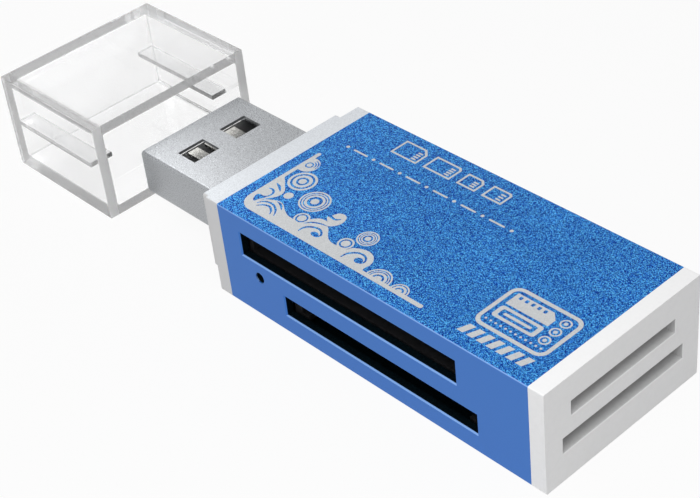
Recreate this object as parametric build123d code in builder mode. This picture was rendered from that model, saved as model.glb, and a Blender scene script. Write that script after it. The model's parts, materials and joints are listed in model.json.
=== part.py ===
from build123d import *
import os
from dataclasses import dataclass

# A pocket memory card reader: a metal sleeve closed by a plug bezel and a slotted end cover,
# a circuit board with four card sockets inside, and a clear cap pulled off its plug.
# Millimetres, +Z up. The origin is the middle of the sleeve's underside, +X runs from the plug
# to the end cover, and the two long card slots open towards -Y.

# Cards the reader takes
LARGE_CARD_WIDTH = 24.0
LARGE_CARD_THICKNESS = 2.1
STICK_CARD_WIDTH = 20.0
STICK_CARD_THICKNESS = 1.6
MICRO_CARD_WIDTH = 11.0
MICRO_CARD_THICKNESS = 1.0
MINI_STICK_WIDTH = 12.5
MINI_STICK_THICKNESS = 1.2

# Room in each slot past the card's edges and over its faces
LARGE_SLOT_MARGIN = 0.5
LARGE_SLOT_GAP = 0.1
STICK_SLOT_MARGIN = 1.0
STICK_SLOT_GAP = 0.2
MICRO_SLOT_MARGIN = 0.55
MICRO_SLOT_GAP = 0.2
MINI_SLOT_MARGIN = 0.8
MINI_SLOT_GAP = 0.15

# Height of each card's near face off the board
LARGE_CARD_LIFT = 0.55
STICK_CARD_LIFT = 0.93
MICRO_CARD_LIFT = 0.86
MINI_STICK_LIFT = 0.4

# Plug
PLUG_WIDTH = 12.0
PLUG_HEIGHT = 4.5
PLUG_SHEET = 0.3
PLUG_BEND = 0.35
PLUG_EXPOSED = 11.75
PLUG_SEAT = 1.5
PLUG_BLOCK = 3.9
PLUG_FIT = 0.05
PLUG_LIP = 0.1
TONGUE_THICKNESS = 1.84
TONGUE_SETBACK = 0.5
WINDOW_LENGTH = 2.45
WINDOW_WIDTH = 2.95
WINDOW_FROM_TIP = 3.0
WINDOW_SPACING = 5.0
SEAM_GAP = 0.12
SEAM_FROM_TIP = 8.4
SEAM_KEY_DEPTH = 0.9
SEAM_KEY_NECK = 0.5
SEAM_KEY_HEAD = 0.85
PLUG_CONTACT_WIDTH = 1.2
PLUG_CONTACT_THICKNESS = 0.2
PLUG_CONTACT_INNER = 1.0
PLUG_CONTACT_OUTER = 3.5
PLUG_CONTACT_SETBACK = 1.0
TAIL_GAP = 0.2
TAIL_LENGTH = 1.2

# Sleeve, bezel and end cover
SLEEVE_WALL = 0.8
SLEEVE_EDGE = 0.12
SLOT_CHAMFER = 0.12
PLUG_SIDE_MARGIN = 3.0
BOARD_ROOM = 3.8
LARGE_SLOT_START = 2.55
LARGE_SLOT_TO_COVER = 7.45
STICK_SLOT_PAST = 2.0
LAMP_HOLE = 1.05
FLANGE_LENGTH = 1.5
BOSS_LENGTH = 2.0
BOSS_EDGE = 0.25
COVER_LENGTH = 1.5
COVER_SLOT_CHAMFER = 0.05
SPIGOT_LENGTH = 1.5
SPIGOT_WALL = 0.8
SPIGOT_FIT = 0.05

# Clear cap
CAP_WALL = 1.0
CAP_END_WALL = 1.0
CAP_FIT = 0.07
CAP_TIP_GAP = 0.25
CAP_PULLED = 16.4
CAP_EDGE = 0.1
CAP_END_EDGE = 0.09
CAP_INSIDE_EDGE = 0.25
CAP_INSIDE_END_EDGE = 0.2
RIB_THICKNESS = 0.5
RIB_EDGE = 0.1
RIB_ROOT = 0.3
RIB_GAP = 0.15
RIB_SETBACK = 0.2

# Board and the parts on it
BOARD_THICKNESS = 0.8
BOARD_FIT = 0.05
BOARD_END_GAP = 0.2
GROOVE_DEPTH = 0.4
NOTCH_GAP = 0.3
TOP_STRIP = 2.4
BOTTOM_STRIP = 5.2
CHIP_SIZE = 4.0
CHIP_HEIGHT = 0.8
CHIP_PADS_PER_SIDE = 6
CHIP_PAD_PITCH = 0.5
CHIP_PAD_LENGTH = 0.4
CHIP_PAD_WIDTH = 0.25
CHIP_PAD_HEIGHT = 0.1
CRYSTAL_LENGTH = 3.2
CRYSTAL_WIDTH = 2.5
CRYSTAL_BASE = 0.45
CRYSTAL_LID = 0.3
CRYSTAL_RIM = 0.2
BLOCK_LENGTH = 1.6
BLOCK_WIDTH = 0.8
BLOCK_END = 0.35
BLOCK_STEP = 0.06
CAPACITOR_HEIGHT = 0.8
RESISTOR_HEIGHT = 0.45
BLOCK_PITCH = 2.4
CAPACITOR_COUNT = 5
RESISTOR_COUNT = 5
PART_SPACING = 1.0
LAMP_LENGTH = 1.6
LAMP_WIDTH = 0.8
LAMP_BASE = 0.25
LAMP_LENS = 0.3
LAMP_LENS_LENGTH = 1.1

# Card sockets
CARD_FIT = 0.1
RAIL_WIDTH = 0.9
BACK_WALL = 0.8
LIP_THICKNESS = 0.5
LIP_REACH = 0.8
SOCKET_GAP = 0.2
FRAME_SPACING = 0.25
SPRING_THICKNESS = 0.15
SPRING_BITE = 0.25
SPRING_DROP = 0.3
SPRING_TIP = 0.8
SPRING_FOOT = 0.5
SPRING_END_GAP = 0.3
SPRING_SIDE_GAP = 0.12
LARGE_SPRING_LENGTH = 6.5
LARGE_SPRING_WIDTH = 1.0
LARGE_SPRING_STEP = 2.5
LARGE_SPRING_COUNT = 9
STICK_SPRING_LENGTH = 5.5
STICK_SPRING_WIDTH = 0.8
STICK_SPRING_STEP = 1.7
STICK_SPRING_COUNT = 10
MICRO_SPRING_WIDTH = 0.6
MICRO_SPRING_STEP = 1.1
MICRO_SPRING_COUNT = 8
MINI_SPRING_WIDTH = 0.5
MINI_SPRING_STEP = 1.0
MINI_SPRING_COUNT = 11

# Sizes that follow from the values above
large_slot_length = LARGE_CARD_WIDTH + 2 * LARGE_SLOT_MARGIN
stick_slot_length = STICK_CARD_WIDTH + 2 * STICK_SLOT_MARGIN
sleeve_length = LARGE_SLOT_START + large_slot_length + LARGE_SLOT_TO_COVER
body_width = PLUG_WIDTH + 2 * PLUG_SIDE_MARGIN
body_height = BOARD_THICKNESS + 2 * (BOARD_ROOM + SLEEVE_WALL)
inner_width = body_width - 2 * SLEEVE_WALL
inner_height = body_height - 2 * SLEEVE_WALL
mid = body_height / 2
board_top = mid + BOARD_THICKNESS / 2
board_bottom = mid - BOARD_THICKNESS / 2

sleeve_start = -sleeve_length / 2
sleeve_end = sleeve_length / 2
flange_start = sleeve_start - FLANGE_LENGTH
boss_start = flange_start - BOSS_LENGTH
plug_tip = boss_start - PLUG_EXPOSED
plug_rear = sleeve_start + PLUG_SEAT
plug_length = plug_rear - plug_tip
plug_bottom = mid - PLUG_HEIGHT / 2

spigot_width = inner_width - 2 * SPIGOT_FIT
spigot_height = inner_height - 2 * SPIGOT_FIT
spigot_bore_width = spigot_width - 2 * SPIGOT_WALL
spigot_bore_height = spigot_height - 2 * SPIGOT_WALL
boss_width = body_width - 2 * (CAP_WALL + CAP_FIT)
boss_height = body_height - 2 * (CAP_WALL + CAP_FIT)

cap_mouth = flange_start - CAP_PULLED
cap_length = BOSS_LENGTH + PLUG_EXPOSED + CAP_TIP_GAP + CAP_END_WALL
cap_end = cap_mouth - cap_length

board_width = spigot_bore_width + 2 * (GROOVE_DEPTH - BOARD_FIT)
board_start = sleeve_start + BOARD_END_GAP
board_end = sleeve_end - BOARD_END_GAP
notch_width = PLUG_WIDTH + 2 * NOTCH_GAP
notch_end = plug_rear + 2 * TAIL_GAP + PLUG_CONTACT_THICKNESS

large_slot_end = sleeve_start + LARGE_SLOT_START + large_slot_length
stick_slot_end = large_slot_end + STICK_SLOT_PAST
large_slot_x = large_slot_end - large_slot_length / 2
stick_slot_x = stick_slot_end - stick_slot_length / 2
lamp_x = (sleeve_start + SPIGOT_LENGTH + stick_slot_end - stick_slot_length) / 2
lamp_z = board_bottom - (LAMP_BASE + LAMP_LENS) / 2

side_mouth = -(inner_width / 2 - SOCKET_GAP)
side_depth = inner_width - 2 * SOCKET_GAP - BACK_WALL
end_mouth = sleeve_end - SPIGOT_LENGTH - SOCKET_GAP


@dataclass
class CardSocket:
    """A card socket: its card, the slot before it, its springs and where its mouth is on the board."""

    name: str
    card_width: float
    card_thickness: float
    slot_margin: float
    slot_gap: float
    lift: float
    depth: float
    spring_count: int
    spring_step: float
    spring_width: float
    spring_length: float
    mouth: Plane

    @property
    def bay_width(self):
        return self.card_width + 2 * CARD_FIT

    @property
    def frame_width(self):
        return self.bay_width + 2 * RAIL_WIDTH

    @property
    def slot_length(self):
        return self.card_width + 2 * self.slot_margin

    @property
    def slot_height(self):
        return self.card_thickness + 2 * self.slot_gap

    @property
    def slot_z(self):
        return self.mouth.origin.Z + self.mouth.z_dir.Z * (self.lift + self.card_thickness / 2)


def side_frame_end(slot_end, slot_margin):
    """Where the frame behind a side slot ends, on the cover's side."""
    return slot_end - slot_margin + CARD_FIT + RAIL_WIDTH


def end_depth(slot_end, slot_margin):
    """Depth left for an end socket beyond the frame of a side slot."""
    return end_mouth - side_frame_end(slot_end, slot_margin) - FRAME_SPACING - BACK_WALL


def end_spring_length(depth):
    """Length of a spring that fills the bay of an end socket."""
    return depth - 3 * SPRING_END_GAP


micro_depth = end_depth(large_slot_end, LARGE_SLOT_MARGIN)
mini_depth = end_depth(stick_slot_end, STICK_SLOT_MARGIN)

large_card = CardSocket(
    "large_card", LARGE_CARD_WIDTH, LARGE_CARD_THICKNESS, LARGE_SLOT_MARGIN, LARGE_SLOT_GAP,
    LARGE_CARD_LIFT, side_depth - TOP_STRIP,
    LARGE_SPRING_COUNT, LARGE_SPRING_STEP, LARGE_SPRING_WIDTH, LARGE_SPRING_LENGTH,
    Plane((large_slot_x, side_mouth, board_top), x_dir=(1, 0, 0), z_dir=(0, 0, 1)))
stick_card = CardSocket(
    "stick_card", STICK_CARD_WIDTH, STICK_CARD_THICKNESS, STICK_SLOT_MARGIN, STICK_SLOT_GAP,
    STICK_CARD_LIFT, side_depth - BOTTOM_STRIP,
    STICK_SPRING_COUNT, STICK_SPRING_STEP, STICK_SPRING_WIDTH, STICK_SPRING_LENGTH,
    Plane((stick_slot_x, side_mouth, board_bottom), x_dir=(-1, 0, 0), z_dir=(0, 0, -1)))
micro_card = CardSocket(
    "micro_card", MICRO_CARD_WIDTH, MICRO_CARD_THICKNESS, MICRO_SLOT_MARGIN, MICRO_SLOT_GAP,
    MICRO_CARD_LIFT, micro_depth,
    MICRO_SPRING_COUNT, MICRO_SPRING_STEP, MICRO_SPRING_WIDTH, end_spring_length(micro_depth),
    Plane((end_mouth, 0, board_top), x_dir=(0, 1, 0), z_dir=(0, 0, 1)))
mini_stick = CardSocket(
    "mini_stick", MINI_STICK_WIDTH, MINI_STICK_THICKNESS, MINI_SLOT_MARGIN, MINI_SLOT_GAP,
    MINI_STICK_LIFT, mini_depth,
    MINI_SPRING_COUNT, MINI_SPRING_STEP, MINI_SPRING_WIDTH, end_spring_length(mini_depth),
    Plane((end_mouth, 0, board_bottom), x_dir=(0, -1, 0), z_dir=(0, 0, -1)))

os.makedirs("parts", exist_ok=True)


# Aluminium sleeve, with two card slots and the lamp hole in its front wall
with BuildPart() as shell_sleeve:
    with BuildSketch(Plane.YZ.offset(sleeve_start)):
        with Locations((0, mid)):
            RectangleRounded(body_width, body_height, SLEEVE_EDGE)
            Rectangle(inner_width, inner_height, mode=Mode.SUBTRACT)
    extrude(amount=sleeve_length)
    with BuildSketch(Plane.XZ.offset(body_width / 2)):
        with Locations((large_slot_x, large_card.slot_z)):
            Rectangle(large_card.slot_length, large_card.slot_height)
        with Locations((stick_slot_x, stick_card.slot_z)):
            Rectangle(stick_card.slot_length, stick_card.slot_height)
        with Locations((lamp_x, lamp_z)):
            Circle(LAMP_HOLE / 2)
    extrude(amount=-SLEEVE_WALL, mode=Mode.SUBTRACT)
    front_wall = shell_sleeve.faces().sort_by(Axis.Y)[0]
    slot_rims = [wire.edges() for wire in front_wall.inner_wires() if len(wire.edges()) > 1]
    chamfer([edge for rim in slot_rims for edge in rim], SLOT_CHAMFER)
shell_sleeve.part.label = "shell_sleeve"
export_step(shell_sleeve.part, "parts/shell_sleeve.step")


def spigot_section(x):
    """Section of the ring that a plastic end pushes into the sleeve, grooved for the board's edges."""
    with BuildSketch(Plane.YZ.offset(x)) as ring:
        with Locations((0, mid)):
            Rectangle(spigot_width, spigot_height)
            Rectangle(spigot_bore_width, spigot_bore_height, mode=Mode.SUBTRACT)
            Rectangle(board_width + 2 * BOARD_FIT, BOARD_THICKNESS + 2 * BOARD_FIT, mode=Mode.SUBTRACT)
    return ring.sketch


# Bezel: flange on the sleeve's end, smaller boss for the cap and an opening for the plug
with BuildPart() as front_bezel:
    with BuildSketch(Plane.YZ.offset(flange_start)):
        with Locations((0, mid)):
            RectangleRounded(body_width, body_height, SLEEVE_EDGE)
    extrude(amount=FLANGE_LENGTH)
    with BuildSketch(Plane.YZ.offset(boss_start)):
        with Locations((0, mid)):
            RectangleRounded(boss_width, boss_height, BOSS_EDGE)
    extrude(amount=BOSS_LENGTH)
    fillet(front_bezel.faces().sort_by(Axis.X)[0].outer_wire().edges(), BOSS_EDGE / 2)
    with BuildSketch(Plane.YZ.offset(boss_start)):
        with Locations((0, mid)):
            RectangleRounded(PLUG_WIDTH + 2 * PLUG_FIT, PLUG_HEIGHT + 2 * PLUG_FIT, PLUG_BEND)
    extrude(amount=BOSS_LENGTH + FLANGE_LENGTH, mode=Mode.SUBTRACT)
    extrude(spigot_section(sleeve_start), amount=SPIGOT_LENGTH)
front_bezel.part.label = "front_bezel"
export_step(front_bezel.part, "parts/front_bezel.step")


# End cover: plate with the two short card slots
with BuildPart() as end_cover:
    with BuildSketch(Plane.YZ.offset(sleeve_end)):
        with Locations((0, mid)):
            RectangleRounded(body_width, body_height, SLEEVE_EDGE)
        for socket in (micro_card, mini_stick):
            with Locations((0, socket.slot_z)):
                Rectangle(socket.slot_length, socket.slot_height, mode=Mode.SUBTRACT)
    extrude(amount=COVER_LENGTH)
    outer_face = end_cover.faces().sort_by(Axis.X)[-1]
    chamfer([edge for wire in outer_face.inner_wires() for edge in wire.edges()], COVER_SLOT_CHAMFER)
    extrude(spigot_section(sleeve_end), amount=-SPIGOT_LENGTH)
end_cover.part.label = "end_cover"
export_step(end_cover.part, "parts/end_cover.step")


# Clear cap: open box with a guide rib inside each narrow wall
with BuildPart() as clear_cap:
    with BuildSketch(Plane.YZ.offset(cap_end)):
        with Locations((0, mid)):
            RectangleRounded(body_width, body_height, CAP_EDGE)
    extrude(amount=cap_length)
    fillet(clear_cap.faces().sort_by(Axis.X)[0].edges(), CAP_END_EDGE)
    with BuildSketch(Plane.YZ.offset(cap_end + CAP_END_WALL)):
        with Locations((0, mid)):
            RectangleRounded(body_width - 2 * CAP_WALL, body_height - 2 * CAP_WALL, CAP_INSIDE_EDGE)
    extrude(amount=cap_length - CAP_END_WALL, mode=Mode.SUBTRACT)
    inside_end = clear_cap.faces().filter_by(Axis.X).sort_by(Axis.X)[1]
    fillet(inside_end.edges(), CAP_INSIDE_END_EDGE)
    rib_inner = PLUG_WIDTH / 2 + RIB_GAP
    rib_reach = body_width / 2 - CAP_WALL - rib_inner + RIB_ROOT
    with BuildSketch(Plane.YZ.offset(cap_end + CAP_END_WALL - RIB_ROOT)):
        with Locations((rib_inner + rib_reach / 2, mid), (-rib_inner - rib_reach / 2, mid)):
            RectangleRounded(rib_reach, RIB_THICKNESS, RIB_EDGE)
    extrude(amount=cap_length - CAP_END_WALL - BOSS_LENGTH - RIB_SETBACK + RIB_ROOT)
clear_cap.part.label = "clear_cap"
export_step(clear_cap.part, "parts/clear_cap.step")


# Plug shell: folded sheet with windows in both broad faces and a keyed seam underneath
with BuildPart() as plug_shell:
    with BuildSketch(Plane.YZ.offset(plug_tip)):
        with Locations((0, mid)):
            RectangleRounded(PLUG_WIDTH, PLUG_HEIGHT, PLUG_BEND)
            RectangleRounded(PLUG_WIDTH - 2 * PLUG_SHEET, PLUG_HEIGHT - 2 * PLUG_SHEET,
                             PLUG_BEND - PLUG_SHEET, mode=Mode.SUBTRACT)
    extrude(amount=plug_length)
    chamfer(plug_shell.faces().sort_by(Axis.X)[0].outer_wire().edges(), PLUG_LIP)
    with BuildSketch(Plane.XY.offset(plug_bottom)):
        with Locations((plug_tip + WINDOW_FROM_TIP + WINDOW_LENGTH / 2, 0)):
            with GridLocations(0, WINDOW_SPACING, 1, 2):
                Rectangle(WINDOW_LENGTH, WINDOW_WIDTH)
    extrude(amount=PLUG_HEIGHT, mode=Mode.SUBTRACT)
    seam_x = plug_tip + SEAM_FROM_TIP
    with BuildSketch(Plane.XY.offset(plug_bottom)):
        with BuildLine():
            Polyline((plug_tip, 0), (seam_x - SEAM_KEY_NECK, 0), (seam_x - SEAM_KEY_HEAD, SEAM_KEY_DEPTH),
                     (seam_x + SEAM_KEY_HEAD, SEAM_KEY_DEPTH), (seam_x + SEAM_KEY_NECK, 0), (plug_rear, 0))
        trace(line_width=SEAM_GAP)
    extrude(amount=PLUG_SHEET, mode=Mode.SUBTRACT)
plug_shell.part.label = "plug_shell"
export_step(plug_shell.part, "parts/plug_shell.step")


plug_contact_places = (-PLUG_CONTACT_OUTER, -PLUG_CONTACT_INNER, PLUG_CONTACT_INNER, PLUG_CONTACT_OUTER)
tongue_bottom = plug_bottom + PLUG_SHEET + PLUG_FIT
tongue_top = tongue_bottom + TONGUE_THICKNESS
insulator_width = PLUG_WIDTH - 2 * (PLUG_SHEET + PLUG_FIT)
insulator_height = PLUG_HEIGHT - 2 * (PLUG_SHEET + PLUG_FIT)

# Plug insulator: tongue in the lower half and a rear block that fills the shell
with BuildPart() as plug_insulator:
    with BuildSketch(Plane.YZ.offset(plug_tip + TONGUE_SETBACK)):
        with Locations((0, tongue_bottom + TONGUE_THICKNESS / 2)):
            Rectangle(insulator_width, TONGUE_THICKNESS)
    extrude(amount=plug_length - TONGUE_SETBACK)
    with BuildSketch(Plane.YZ.offset(plug_rear - PLUG_BLOCK)):
        with Locations((0, mid)):
            Rectangle(insulator_width, insulator_height)
        for place in plug_contact_places:
            with Locations((place, tongue_top + PLUG_CONTACT_THICKNESS / 2)):
                Rectangle(PLUG_CONTACT_WIDTH, PLUG_CONTACT_THICKNESS, mode=Mode.SUBTRACT)
    extrude(amount=PLUG_BLOCK)
plug_insulator.part.label = "plug_insulator"
export_step(plug_insulator.part, "parts/plug_insulator.step")


# Plug contacts: strips on the tongue that step down behind the plug to tails under the board
with BuildPart() as plug_contacts:
    drop_x = plug_rear + TAIL_GAP
    tail_z = board_bottom - PLUG_CONTACT_THICKNESS
    strip_top = tongue_top + PLUG_CONTACT_THICKNESS
    strip_start = plug_tip + PLUG_CONTACT_SETBACK
    for place in plug_contact_places:
        with BuildSketch(Plane.XZ.offset(-place)):
            with BuildLine():
                Polyline((strip_start, tongue_top), (drop_x, tongue_top), (drop_x, tail_z),
                         (notch_end + TAIL_LENGTH, tail_z), (notch_end + TAIL_LENGTH, board_bottom),
                         (drop_x + PLUG_CONTACT_THICKNESS, board_bottom),
                         (drop_x + PLUG_CONTACT_THICKNESS, strip_top), (strip_start, strip_top), close=True)
            make_face()
        extrude(amount=PLUG_CONTACT_WIDTH / 2, both=True)
plug_contacts.part.label = "plug_contacts"
export_step(plug_contacts.part, "parts/plug_contacts.step")


# Circuit board, notched for the plug so that two ears reach into the bezel
with BuildPart() as circuit_board:
    with BuildSketch(Plane.XY.offset(board_bottom)):
        with Locations((board_start, 0)):
            Rectangle(board_end - board_start, board_width, align=(Align.MIN, Align.CENTER))
            Rectangle(notch_end - board_start, notch_width, align=(Align.MIN, Align.CENTER),
                      mode=Mode.SUBTRACT)
    extrude(amount=BOARD_THICKNESS)
circuit_board.part.label = "circuit_board"
export_step(circuit_board.part, "parts/circuit_board.step")


def socket_frame(socket):
    """Moulded frame: floor on the board, rails with lips over the card's edges and a back stop."""
    floor = socket.lift - CARD_FIT
    bay_height = socket.card_thickness + 2 * CARD_FIT
    with BuildPart() as frame:
        with BuildSketch(socket.mouth):
            Rectangle(socket.frame_width, socket.depth + BACK_WALL, align=(Align.CENTER, Align.MIN))
        extrude(amount=floor + bay_height + LIP_THICKNESS)
        with BuildSketch(socket.mouth.offset(floor)):
            Rectangle(socket.bay_width, socket.depth, align=(Align.CENTER, Align.MIN))
        extrude(amount=bay_height, mode=Mode.SUBTRACT)
        with BuildSketch(socket.mouth.offset(floor + bay_height)):
            Rectangle(socket.bay_width - 2 * LIP_REACH, socket.depth, align=(Align.CENTER, Align.MIN))
        extrude(amount=LIP_THICKNESS, mode=Mode.SUBTRACT)
        window_length = socket.spring_length + SPRING_END_GAP
        with BuildSketch(socket.mouth):
            with Locations((0, socket.depth - window_length / 2 - SPRING_END_GAP / 2)):
                with GridLocations(socket.spring_step, 0, socket.spring_count, 1):
                    Rectangle(socket.spring_width + 2 * SPRING_SIDE_GAP, window_length)
        extrude(amount=floor, mode=Mode.SUBTRACT)
    frame.part.label = socket.name + "_frame"
    export_step(frame.part, f"parts/{socket.name}_frame.step")


def socket_contacts(socket):
    """Spring strips: a foot on the board, a rise into the card's bay and a tip that turns down."""
    side = Plane(socket.mouth.origin, x_dir=socket.mouth.y_dir, z_dir=socket.mouth.x_dir)
    back = socket.depth - SPRING_END_GAP
    tip = back - socket.spring_length + SPRING_END_GAP
    peak = socket.lift + SPRING_BITE - SPRING_THICKNESS
    line = [(back, 0), (back - SPRING_FOOT, 0), (tip + SPRING_TIP, peak), (tip, peak - SPRING_DROP)]
    upper = [(along, off + SPRING_THICKNESS) for along, off in reversed(line)]
    first = -(socket.spring_count - 1) / 2 * socket.spring_step
    with BuildPart() as contacts:
        for number in range(socket.spring_count):
            with BuildSketch(side.offset(first + number * socket.spring_step)):
                with BuildLine():
                    Polyline(*line, *upper, close=True)
                make_face()
            extrude(amount=socket.spring_width / 2, both=True)
    contacts.part.label = socket.name + "_contacts"
    export_step(contacts.part, f"parts/{socket.name}_contacts.step")


# Card sockets on both faces of the board
for socket in (large_card, stick_card, micro_card, mini_stick):
    socket_frame(socket)
    socket_contacts(socket)


under_board = Plane((stick_slot_x, 0, board_bottom), x_dir=(1, 0, 0), z_dir=(0, 0, -1))
over_board = Plane((large_slot_x, 0, board_top), x_dir=(1, 0, 0), z_dir=(0, 0, 1))
top_strip_y = (side_mouth + large_card.depth + BACK_WALL + board_width / 2) / 2
bottom_strip_y = -(side_mouth + stick_card.depth + BACK_WALL + board_width / 2) / 2

# Controller: leadless body behind the stick socket, on a ring of terminals
with BuildPart() as controller_chip:
    with BuildSketch(under_board.offset(CHIP_PAD_HEIGHT)):
        with Locations((0, bottom_strip_y)):
            Rectangle(CHIP_SIZE, CHIP_SIZE)
    extrude(amount=CHIP_HEIGHT)
controller_chip.part.label = "controller_chip"
export_step(controller_chip.part, "parts/controller_chip.step")

with BuildPart() as controller_pads:
    pad_row = CHIP_SIZE - CHIP_PAD_LENGTH
    with BuildSketch(under_board):
        with Locations((0, bottom_strip_y)):
            with GridLocations(CHIP_PAD_PITCH, pad_row, CHIP_PADS_PER_SIDE, 2):
                Rectangle(CHIP_PAD_WIDTH, CHIP_PAD_LENGTH)
            with GridLocations(pad_row, CHIP_PAD_PITCH, 2, CHIP_PADS_PER_SIDE):
                Rectangle(CHIP_PAD_LENGTH, CHIP_PAD_WIDTH)
    extrude(amount=CHIP_PAD_HEIGHT)
controller_pads.part.label = "controller_pads"
export_step(controller_pads.part, "parts/controller_pads.step")


# Clock crystal: metal lid on a flat base, beside the controller
with BuildPart() as crystal_can:
    crystal_x = CHIP_SIZE / 2 + PART_SPACING + CRYSTAL_LENGTH / 2
    with BuildSketch(under_board):
        with Locations((crystal_x, bottom_strip_y)):
            Rectangle(CRYSTAL_LENGTH, CRYSTAL_WIDTH)
    extrude(amount=CRYSTAL_BASE)
    with BuildSketch(under_board.offset(CRYSTAL_BASE)):
        with Locations((crystal_x, bottom_strip_y)):
            RectangleRounded(CRYSTAL_LENGTH - 2 * CRYSTAL_RIM, CRYSTAL_WIDTH - 2 * CRYSTAL_RIM, CRYSTAL_RIM)
    extrude(amount=CRYSTAL_LID)
crystal_can.part.label = "crystal_can"
export_step(crystal_can.part, "parts/crystal_can.step")


def block_bodies(places):
    """Outlines of a row of chip parts behind the large card socket."""
    with BuildSketch(over_board) as bodies:
        with Locations(*places):
            Rectangle(BLOCK_LENGTH, BLOCK_WIDTH - 2 * BLOCK_STEP)
    return bodies.sketch


def block_ends(places):
    """Outlines of the end caps of the same row, which stand a little proud."""
    with BuildSketch(over_board) as ends:
        with Locations(*places):
            with GridLocations(BLOCK_LENGTH - BLOCK_END, 0, 2, 1):
                Rectangle(BLOCK_END, BLOCK_WIDTH)
    return ends.sketch


# Capacitors in a row behind the large card socket
with BuildPart() as capacitors:
    places = [((n - CAPACITOR_COUNT) * BLOCK_PITCH, top_strip_y) for n in range(CAPACITOR_COUNT)]
    extrude(block_bodies(places), amount=CAPACITOR_HEIGHT - BLOCK_STEP)
    extrude(block_ends(places), amount=CAPACITOR_HEIGHT)
capacitors.part.label = "capacitors"
export_step(capacitors.part, "parts/capacitors.step")

# Resistors in the same row
with BuildPart() as resistors:
    places = [(n * BLOCK_PITCH, top_strip_y) for n in range(RESISTOR_COUNT)]
    extrude(block_bodies(places), amount=RESISTOR_HEIGHT - BLOCK_STEP)
    extrude(block_ends(places), amount=RESISTOR_HEIGHT)
resistors.part.label = "resistors"
export_step(resistors.part, "parts/resistors.step")


# Status lamp under the board, at the hole in the sleeve
with BuildPart() as status_lamp:
    lamp_plane = Plane((lamp_x, (LAMP_WIDTH - board_width) / 2, board_bottom),
                       x_dir=(1, 0, 0), z_dir=(0, 0, -1))
    with BuildSketch(lamp_plane):
        Rectangle(LAMP_LENGTH, LAMP_WIDTH)
    extrude(amount=LAMP_BASE)
    with BuildSketch(lamp_plane.offset(LAMP_BASE)):
        Rectangle(LAMP_LENS_LENGTH, LAMP_WIDTH)
    extrude(amount=LAMP_LENS)
status_lamp.part.label = "status_lamp"
export_step(status_lamp.part, "parts/status_lamp.step")
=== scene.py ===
import json
import math

import bmesh
import bpy
import numpy as np
from mathutils import Matrix, Vector
from mathutils.geometry import delaunay_2d_cdt

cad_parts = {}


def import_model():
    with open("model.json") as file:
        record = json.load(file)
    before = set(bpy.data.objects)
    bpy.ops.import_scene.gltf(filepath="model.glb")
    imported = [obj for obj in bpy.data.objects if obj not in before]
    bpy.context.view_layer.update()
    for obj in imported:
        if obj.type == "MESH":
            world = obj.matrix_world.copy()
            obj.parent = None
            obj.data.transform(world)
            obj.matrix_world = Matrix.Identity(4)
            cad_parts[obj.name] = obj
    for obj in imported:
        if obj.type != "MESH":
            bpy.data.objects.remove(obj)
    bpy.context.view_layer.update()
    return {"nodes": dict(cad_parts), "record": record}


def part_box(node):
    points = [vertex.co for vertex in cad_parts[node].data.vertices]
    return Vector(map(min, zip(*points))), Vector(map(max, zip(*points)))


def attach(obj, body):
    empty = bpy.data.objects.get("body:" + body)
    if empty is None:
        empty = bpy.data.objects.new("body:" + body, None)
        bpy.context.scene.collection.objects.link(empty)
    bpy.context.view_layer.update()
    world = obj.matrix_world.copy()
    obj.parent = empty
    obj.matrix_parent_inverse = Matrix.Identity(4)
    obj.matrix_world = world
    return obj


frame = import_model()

nodes = frame["nodes"]

MM = 0.001

# Camera, as fitted to the corners in the photograph, in millimetres

CAMERA_PLACE = (79.165, -74.030, 91.351)
CAMERA_RIGHT = (0.6831, 0.7242, -0.0946)
CAMERA_UP = (-0.3892, 0.4705, 0.7919)
CAMERA_LENS = 86.45
CAMERA_SENSOR = 36.0
CAMERA_NEAR = 5.0

# Lamps: place, aim, width and height in metres, and watts

LAMPS = {
    "softbox": ((0.035, -0.055, 0.105), (0.0, 0.0, 0.005), 0.10, 0.10, 0.115),
    "plug_panel": ((-0.072, 0.017, 0.048), (-0.072, 0.017, 0.0), 0.0235, 0.022, 0.0054),
}

# Surroundings, with the share of plain white that rays see plainly, through clear plastic and in gloss

FLOOR_PALE = (0.62, 0.62, 0.62)
FLOOR_SEEN = (0.93, 0.97, 0.70)
FLOOR_ROUGH = 0.9
FLOOR_HALF = 4.0
FLOOR_CELLS = 8
FLOOR_DROP = 0.02
ROOM = (0.40, 0.40, 0.405)
ROOM_SEEN = (1.0, 0.40, 0.80)

# Colours, linear

WHITE = (1.0, 1.0, 1.0)
BLUE_DEEP = (0.000, 0.018, 0.200)
BLUE = (0.003, 0.130, 0.660)
BLUE_BRIGHT = (0.130, 0.588, 1.000)
# Narrow faces of the blue: a lighter, greyer copy of it, painted light that makes them as bright as the top
BLUE_SIDE_PAINTED_LIGHT = (0.062, 0.198, 0.570)
# A paler blue on the sleeve's rounded edges: a painted highlight
BLUE_EDGE_HIGHLIGHT = (0.220, 0.400, 0.780)
PATCH_DARK = (0.86, 0.88, 0.90)
# Near black with faint teal flecks on the faces inside the sleeve and its slots: painted shade
INSIDE_SHADE = (0.002, 0.006, 0.009)
INSIDE_SHADE_FLECK = (0.006, 0.022, 0.028)
BEZEL_SILVER = (0.715, 0.745, 0.780)
# A darker, neutral copy of the bezel's silver for its narrow faces: painted shade
BEZEL_SIDE_SHADE = (0.637, 0.637, 0.640)
COVER_WHITE = (0.86, 0.86, 0.86)
# Grey on the walls inside the cover's card slots: painted shade
SLOT_SHADE_GREY = (0.65, 0.65, 0.65)
STEEL = (0.408, 0.422, 0.440)
PRINT_SILVER = (0.57, 0.585, 0.595)
CLEAR = (0.998, 0.998, 0.999)
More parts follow.
